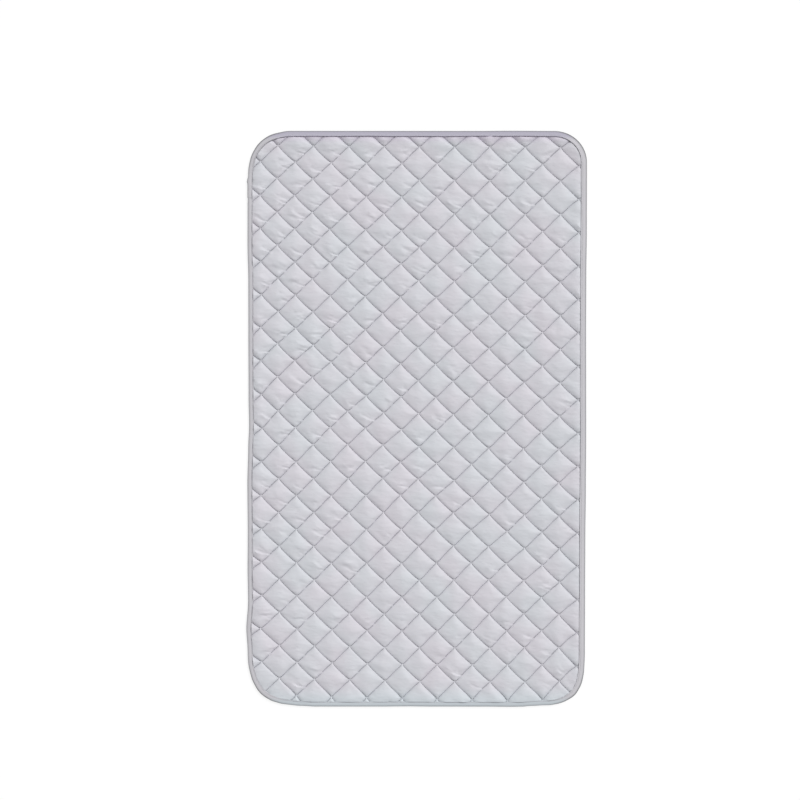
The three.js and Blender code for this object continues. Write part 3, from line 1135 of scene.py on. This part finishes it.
# %% [markdown]
# ## Sweeping the tape
# The sweep gives one ring of points for every place along the edge, so each ring can be moved by
# itself in the next steps. For these we keep how far along the tape each point lies, how far in
# from the edge, and which way is out.

# %% Sweep the section round the edge
path = drawn("tape_path", course, False)
path.data.bevel_mode = "OBJECT"
path.data.bevel_object = section
alone(path)
bpy.ops.object.convert(target="MESH")
tape = bpy.context.object
tape.name = "edge_binding_tape"
points = points_of(tape)
gone = np.repeat(np.arange(len(course)) * TAPE_STEP, len(ring))
inset, way_out = edge_place(points[:, :2])
bpy.data.objects.remove(section)
print("tape swept, points:", len(points))

# %% [markdown]
# ## Lap of the tape
# On the left side the end of the tape lies over its start. The end rises over the start, the start
# tucks in below, and the cut end flares out a little. A short extra piece would be easier to lay
# there, but the real tape is one piece from end to end.

# %% Lap the end over the start
# Middle of the section in mm, its flatness, and the levels between which its upper half begins
TAPE_MIDDLE = (4.5, 3.05)
TAPE_FLATNESS = (0.5, 1)
UPPER_FROM = 1 * MM
UPPER_RAMP = 4 * MM
# Lift of the lap, its ramp, the share of it outwards, and the flare of its end
LAP_LIFT = 0.6 * MM
LAP_RAMP = 4 * MM
LAP_ASIDE = 0.4
LAP_FLARE = 0.8 * MM
FLARE_REACH = 3 * MM

whole_turn = gone[-1] - LAP_LENGTH
upper = ramp((points[:, 2] - UPPER_FROM) / UPPER_RAMP)
core = np.tile(ring - TAPE_MIDDLE, (len(course), 1))
core /= np.linalg.norm(core * TAPE_FLATNESS, axis=1)[:, None]
rising = ramp((gone - whole_turn) / LAP_RAMP) * upper
tucked = ramp((LAP_LENGTH + LAP_RAMP - gone) / LAP_RAMP) * (1 - upper)
outward = np.where(inset < CUT_INSET, -core[:, 0], 0)
flare = LAP_FLARE * np.exp(-(((gone - whole_turn) / FLARE_REACH) ** 2))
points[:, 2] += LAP_LIFT * (rising - tucked) * core[:, 1]
aside = (LAP_LIFT * (LAP_ASIDE * rising - tucked) + flare) * outward
points[:, :2] += way_out * aside[:, None]
print("lap begins after, m:", round(whole_turn, 3))

# %% [markdown]
# ## Puckers and lip of the tape
# At the corners the inner edge of the tape is too long for the turn, so it puckers. Along the top
# and the right and at the two upper corners its lip stands up more, and all round it drifts in and
# out. A Wave modifier runs along an axis, not along the tape, so the points are moved by how far
# along the tape they lie.

# %% Puckers and lip
HALF_WAY = 3 * MM
# Puckers at the corners: height, pitch, and a second wave as shares of these
PUCKER = 0.12 * MM
PUCKER_PITCH = 7 * MM
SECOND_WAVE = (0.6, 0.61)
PUCKER_RAMP = 5 * MM
CORNER_TURN = 0.02
# For the right, the top, the left and the bottom, and added at the corners from the top right one
# on round: mm that the lip stands in and up
LIP_REACH = (0.5, 0, -0.7, -0.5)
LIP_RISE = (0.3, 1.2, 0, 0, (1.8, 2.0, 0, 0))
LIP_FROM = 5 * MM
LIP_RAMP = 3 * MM
# Drift of the lip in and out, as two slow waves
LIP_DRIFT = 0.16 * MM
DRIFT_WAVES = (31 * MM, 13 * MM)
SECOND_PHASE = 1.3
DRIFT_FROM = 4 * MM
DRIFT_RAMP = 4 * MM

on_face = points[:, 2] > HALF_WAY
turning = (np.abs(way_out) > CORNER_TURN).all(axis=1)
inner_edge = ramp((inset - CUT_INSET) / PUCKER_RAMP) * turning
angle = gone * 2 * math.pi / PUCKER_PITCH
wave = np.sin(angle) + SECOND_WAVE[0] * np.sin(angle / SECOND_WAVE[1])
points[:, 2] += PUCKER * wave * inner_edge * on_face
lip = ramp((inset - LIP_FROM) / LIP_RAMP) * on_face
points[:, :2] -= way_out * (lip * by_side(way_out, *LIP_REACH) * MM)[:, None]
points[:, 2] += lip * by_side(way_out, *LIP_RISE) * MM
drift = np.sin(gone / DRIFT_WAVES[0]) + np.sin(gone / DRIFT_WAVES[1] + SECOND_PHASE)
inwards = ramp((inset - DRIFT_FROM) / DRIFT_RAMP)
points[:, :2] += way_out * (LIP_DRIFT * drift * inwards)[:, None]
put_points(tape, points)
print("tape, mm:", np.round(points.max(0) / MM, 1))

# %% [markdown]
# ## Painted shade on the fold, and ends of the tape
# Along its fold the tape gets painted shade, a dark line that is strongest at the top and the
# right. A colour by height would reach the back too, so each point keeps how much painted shade it
# gets near the fold, as an attribute that the finish reads. Last, the two cut ends are filled.

# %% Painted shade on the fold, and filled ends
# Painted shade along the fold, for the right, the top, the left and the bottom, and added at the
# corners from the top right one on round
PAINTED_FOLD_SHADE = (0.85, 0.95, 0.25, 0.4, (0.9, 0.7, 0.6, 0.8))
FOLD_LINE = 1.7 * MM
# Each point keeps its share of the painted fold shade as an attribute
folded = tape.data.attributes.new("folded", "FLOAT", "POINT")
shade = by_side(way_out, *PAINTED_FOLD_SHADE) * np.exp(-((inset / FOLD_LINE) ** 2))
folded.data.foreach_set("value", shade.astype(np.float32))
bpy.ops.object.mode_set(mode="EDIT")
bpy.ops.mesh.select_mode(type="EDGE")
bpy.ops.mesh.select_all(action="SELECT")
bpy.ops.mesh.fill_holes(sides=0)
bpy.ops.mesh.select_all(action="SELECT")
bpy.ops.mesh.normals_make_consistent(inside=False)
bpy.ops.object.mode_set(mode="OBJECT")
print("tape, faces:", len(tape.data.polygons))

# %% [markdown]
# ## Stitches along the binding
# One row of stitches goes through the tape near its inner edge, on the face and on the back alike.
# It crosses the lap at the end and holds it down. The thread helper from the quilting does the
# work.

# %% Two threads round the edge
TAPE_STITCH_INSET = 6.5 * MM
tape_tree = surface(tape)
sewing_line = course - edge_place(course)[1] * TAPE_STITCH_INSET
sewing_line = sewing_line[int(2 * LAP_LENGTH / TAPE_STEP) :]
binding_needle = stitched(sewing_line, CLEAR, -1, tape_tree, "binding_needle_stitches")
binding_bobbin = stitched(sewing_line, -CLEAR, 1, tape_tree, "binding_bobbin_stitches")
print("binding stitches, faces:", len(binding_needle.data.polygons))

# %% [markdown]
# ## Finishes of the other pieces
# The tape is a lavender grey twill, the back a plain off-white cloth, the threads are darker greys,
# and the wadding is a loose white fibre. We could build each one node by node, but they differ only
# in colour, size and roughness, so one recipe makes them all from a table. Object coordinates feed
# it, and nothing needs unwrapping.

# %% Tape, back, threads and wadding
BLOTCH_SIZE = 25 * MM
FUZZ_SIZE = 0.6 * MM
FUZZ_ROUGH = 0.12
# Share of the blotches in the colour and of the threads in the relief, the rest being fuzz
BLOTCH_SHARE = 0.6
THREAD_SHARE = 0.7
RELIEF_STRENGTH = 0.6
TAPE_TINT = 16 * MM
TAPE_LILAC = (0.435, 0.417, 0.50, 1)
TAPE_SEA = (0.51, 0.555, 0.59, 1)
# Grey that the painted shade along the tape's fold darkens towards
PAINTED_SHADE_GREY = (0.12, 0.12, 0.13, 1)
# Dark and light grey, pitch of the threads and their relief in mm, and roughness
WOVEN = {
    "back_weave": ((0.66, 0.65, 0.63), (0.74, 0.73, 0.71), 0.8, 0.08, 0.8),
    # The upper thread's dark grey is its own colour and also paints part of the shade in the seam
    # grooves
    "face_thread": ((0.17, 0.165, 0.19), (0.23, 0.22, 0.25), 0.3, 0.03, 0.36),
    "back_thread": ((0.55, 0.54, 0.53), (0.62, 0.61, 0.6), 0.3, 0.03, 0.5),
    "tape_thread": ((0.45, 0.44, 0.47), (0.53, 0.52, 0.55), 0.3, 0.03, 0.5),
    "wadding_fibre": ((0.78, 0.77, 0.74), (0.86, 0.85, 0.82), 3, 0.2, 0.95),
    "binding_twill": ((0.50, 0.49, 0.52), (0.58, 0.57, 0.60), 0.9, 0.08, 0.7),
}


def woven_finish(name, dark, light, pitch, relief, rough):
    """A woven cloth that drifts between two greys, with threads of that pitch."""
    material, shader, flow = finish(name)
    spot, parts = place_on(flow)
    threads = weave(flow, parts, pitch * MM)
    blotch = cloud(flow, spot, BLOTCH_SIZE, 3.0)
    fuzz = cloud(flow, spot, FUZZ_SIZE, 2.0)
    grey = blotch * BLOTCH_SHARE + fuzz * (1 - BLOTCH_SHARE)
    height = threads * THREAD_SHARE + fuzz * (1 - THREAD_SHARE)
    feed(
        shader,
        Base_Color=grey.mix((*dark, 1), (*light, 1)),
        Roughness=fuzz * FUZZ_ROUGH + rough,
        Normal=bumped(flow, height, relief * MM, RELIEF_STRENGTH),
    )
    return material, shader, flow, parts


made = {name: woven_finish(name, *look) for name, look in WOVEN.items()}
tape_finish, shader, flow, parts = made["binding_twill"]
plain_tape = Flow(flow.tree, shader.inputs["Base Color"].links[0].from_socket)
tinted = end_tint(flow, parts[1], TAPE_TINT, plain_tape, TAPE_LILAC)
tinted = end_tint(flow, -1 * parts[1], TAPE_TINT, tinted, TAPE_SEA)
# Painted shade: the tape's colour darkens towards that grey along its fold
fold = flow.node("ShaderNodeAttribute", {"attribute_name": "folded"}, {}, 2)
feed(shader, Base_Color=fold.mix(tinted, PAINTED_SHADE_GREY), Sheen_Weight=0.2)
print("finishes:", [m.name for m in bpy.data.materials])

# %% [markdown]
# ## Seams that drift
# Nothing sewn by hand runs quite straight. The crossings drift by up to three millimetres from row
# to row, and every seam bows a little between them and is pulled up where two seams meet. We could
# bend each piece by itself, but they would come apart, so one function moves the points of any
# piece alike.

# %% Drift of the seams
# Drift of the crossings along the two slants, in mm, by their row
DOWN_DRIFT = (
    (-12, 0.4), (-10, 1.0), (-8, 1.1), (-6, 0.0), (-5, -0.6), (-3, -3.3), (-2, -3.2), (-1, -1.2),
    (1, -1.3), (3, -1.6), (5, 0.1), (6, 0.05), (8, -0.55), (11, -1.7),
)
UP_DRIFT = (
    (-12, 1.0), (-10, 0.7), (-7, -0.6), (-6, 0.1), (-3, 0.6), (-1, 0.2), (2, -1.7), (3, -1.5),
    (5, -0.6), (7, 0.3), (11, 1.6),
)
# Bow of every seam from one crossing to the next, in mm, for those that run down and up
DOWN_BOW = (
    (0, 0.35), (0.08, 0.1), (0.2, -0.2), (0.36, -0.45), (0.56, -0.45), (0.72, -0.2), (0.8, 0),
    (0.88, 0.4), (0.94, 0.5), (1, 0.35),
)
UP_BOW = ((0, 0), (0.16, -0.25), (0.28, -0.2), (0.45, 0), (0.64, 0.35), (0.8, 0.2), (1, 0))
# Distance from the edge at which the drift begins, and over which it grows to the full
DRIFT_STILL = 6 * MM
DRIFT_GROWTH = 25 * MM
# Pull of the thread on every crossing, its reach, and how far above the crossing it is strongest
PULL = 0.7 * MM
PULL_REACH = 1.8 * MM
PULL_ABOVE = 0.5 * MM


def wander(along, stops):
    """Smooth line through a few places, all in mm."""
    places, shifts = np.array(stops, float).T * MM
    at = np.clip(np.searchsorted(places, along) - 1, 0, len(places) - 2)
    share = np.clip((along - places[at]) / (places[at + 1] - places[at]), 0, 1)
    return shifts[at] + (shifts[at + 1] - shifts[at]) * share**2 * (3 - 2 * share)


def seam_drift(points):
    """Drift from row to row, bow of every seam and pull at the crossings, with none at the edge."""
    part = lattice_place(points[:, :2])
    row = part[:, 1] * MM
    steps = np.stack((STEP_DOWN, STEP_UP))
    inside = ramp((edge_place(points[:, :2])[0] - DRIFT_STILL) / DRIFT_GROWTH)
    shift = np.stack((wander(row, DOWN_DRIFT), wander(row, UP_DRIFT)), axis=1) / DIAMOND_SIDE
    down, up = (part % 1).T
    bow = (
        -wander(up * MM, UP_BOW) * np.cos(math.pi * down) ** 2,
        wander(down * MM, DOWN_BOW) * np.cos(math.pi * up) ** 2,
    )
    shift += np.transpose(bow) / DIAMOND_SIDE
    away = np.linalg.norm((part - np.round(part)) @ steps - (0, PULL_ABOVE), axis=1)
    moved = points.copy()
    moved[:, :2] += inside[:, None] * (shift @ steps)
    moved[:, 1] += inside * PULL * np.exp(-((away / PULL_REACH) ** 2))
    return moved


print("largest drift of a row, mm:", max(abs(shift) for _, shift in DOWN_DRIFT + UP_DRIFT))

# %% [markdown]
# ## Cloth eased to the tape
# At the left and the bottom the tape shows a narrower band, so more of the cloth shows there.
# Making the net anew for each side would change its seams too. So the cloth near the tape is eased
# outwards, and its cut edge under the tape stays where it is.

# %% Ease of the cloth
# Ease of the cloth at the right, the top, the left and the bottom, in mm
EASE = (0.4, 0, 2.2, 2.2)
EASE_REACH = 20 * MM


def eased(points):
    """Cloth eased outwards to the tape, which is narrower at the left and the bottom."""
    inset, way_out = edge_place(points[:, :2])
    under = ramp((inset - CUT_INSET) / (FIELD_INSET - CUT_INSET))
    share = under * ramp((EASE_REACH - inset) / (EASE_REACH - FIELD_INSET))
    moved = points.copy()
    moved[:, :2] += way_out * (share * by_side(way_out, *EASE) * MM)[:, None]
    return moved


print("ease at the four sides, mm:", EASE)

# %% [markdown]
# ## The hand-cut edge
# The layers were cut and bound by hand, so the sides wander by up to three millimetres. We could
# draw each piece along a crooked outline, but then every piece would need its own drawing. Instead
# all pieces were made on the true outline, and the same wander moves them all.

# %% Wander of the edge
SIDE_REACH = 60 * MM
# Places along each side and how far the edge lies further out there, in mm
LEFT_WANDER = (
    (-405, 0.8), (-390, -0.6), (-375, -1.5), (-345, -0.3), (-310, 1.6), (-270, -0.9),
    (-220, -0.2), (-170, -0.5), (-95, 0.1), (-45, -1.1), (-10, -2.4), (30, -1.7), (130, -1.4),
    (205, -1.3), (255, -0.1), (340, -0.2), (375, -1.2), (395, -0.3), (407, 0.6),
)
RIGHT_WANDER = (
    (-409, -0.5), (-397, -1.8), (-380, -2.9), (-345, -1.7), (-257, -1.4), (-181, -1.1),
    (-102, -0.3), (-26, 0.2), (52, 0.15), (129, 0.05), (207, 0.35), (284, 1.2), (370, 1.4),
)
TOP_WANDER = (
    (-228, 0.8), (-219, 0.6), (-202, -0.6), (-188, -0.1), (-60, -0.15), (90, -0.2),
    (140, 0.1), (200, -0.2),
)
BOTTOM_WANDER = (
    (-230, 0.8), (-216, -0.4), (-205, -1.6), (-190, -2.4), (-170, -1.0), (-150, 0), (-50, 0),
    (-13, -0.3), (24, 0), (100, 0.1), (140, 0.4), (155, 0.2), (170, -1.0), (190, -1.9),
    (205, -2.3), (222, -1.7), (234, -0.4),
)


def hand_cut(points):
    """Points moved with the wandering edge, and not at all further in."""
    moved = points.copy()
    half = (PAD_WIDTH / 2, PAD_LENGTH / 2)
    for axis, low, high in ((0, LEFT_WANDER, RIGHT_WANDER), (1, BOTTOM_WANDER, TOP_WANDER)):
        for sign, stops in ((-1, low), (1, high)):
            near = np.clip(1 - (half[axis] - sign * points[:, axis]) / SIDE_REACH, 0, 1)
            shift = wander(points[:, 1 - axis], stops)
            moved[:, axis] += sign * shift * near**2 * (3 - 2 * near)
    return moved


sides = LEFT_WANDER + RIGHT_WANDER + TOP_WANDER + BOTTOM_WANDER
print("largest wander, mm:", max(abs(shift) for _, shift in sides))

# %% [markdown]
# ## Moving, finishing and shading
# Every piece now gets these moves, its finish and its shading, and is tied to the one body of the
# pad. The tape and its stitches follow only the edge, because the quilting doesn't reach them.
# Smooth shading all over would blur the cut ends, so edges sharper than forty degrees stay sharp.

# %% Move, finish and shade
SHARP_ANGLE = math.radians(40)
looks = {name: finished[0] for name, finished in made.items()}
finishes = {face: silver_finish, back: looks["back_weave"], wadding: looks["wadding_fibre"]}
finishes[tape] = tape_finish
finishes.update({thread: looks["face_thread"] for thread in needle_threads})
finishes[binding_needle] = looks["tape_thread"]
finishes.update({thread: looks["back_thread"] for thread in [*bobbin_threads, binding_bobbin]})
for piece, material in finishes.items():
    points = points_of(piece)
    if piece not in (tape, binding_needle, binding_bobbin):
        points = eased(seam_drift(points))
    put_points(piece, hand_cut(points))
    piece.data.materials.clear()
    piece.data.materials.append(material)
    alone(piece)
    bpy.ops.object.shade_smooth_by_angle(angle=SHARP_ANGLE)
    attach(piece, "root")
for net in nets:
    bpy.data.objects.remove(net)
print("pieces finished:", len(finishes))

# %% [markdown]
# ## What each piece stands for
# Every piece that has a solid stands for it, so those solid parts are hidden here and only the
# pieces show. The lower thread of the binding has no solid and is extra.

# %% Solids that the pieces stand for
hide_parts("face_cloth")
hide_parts("back_cloth")
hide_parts("wadding")
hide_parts("edge_binding")
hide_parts("binding_needle_thread")
for number, (upper, lower) in enumerate(zip(needle_threads, bobbin_threads), 1):
    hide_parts(f"quilt_needle_thread_{number:02d}")
    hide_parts(f"quilt_bobbin_thread_{number:02d}")
print("threads that stand for a solid:", 1 + len(needle_threads + bobbin_threads))
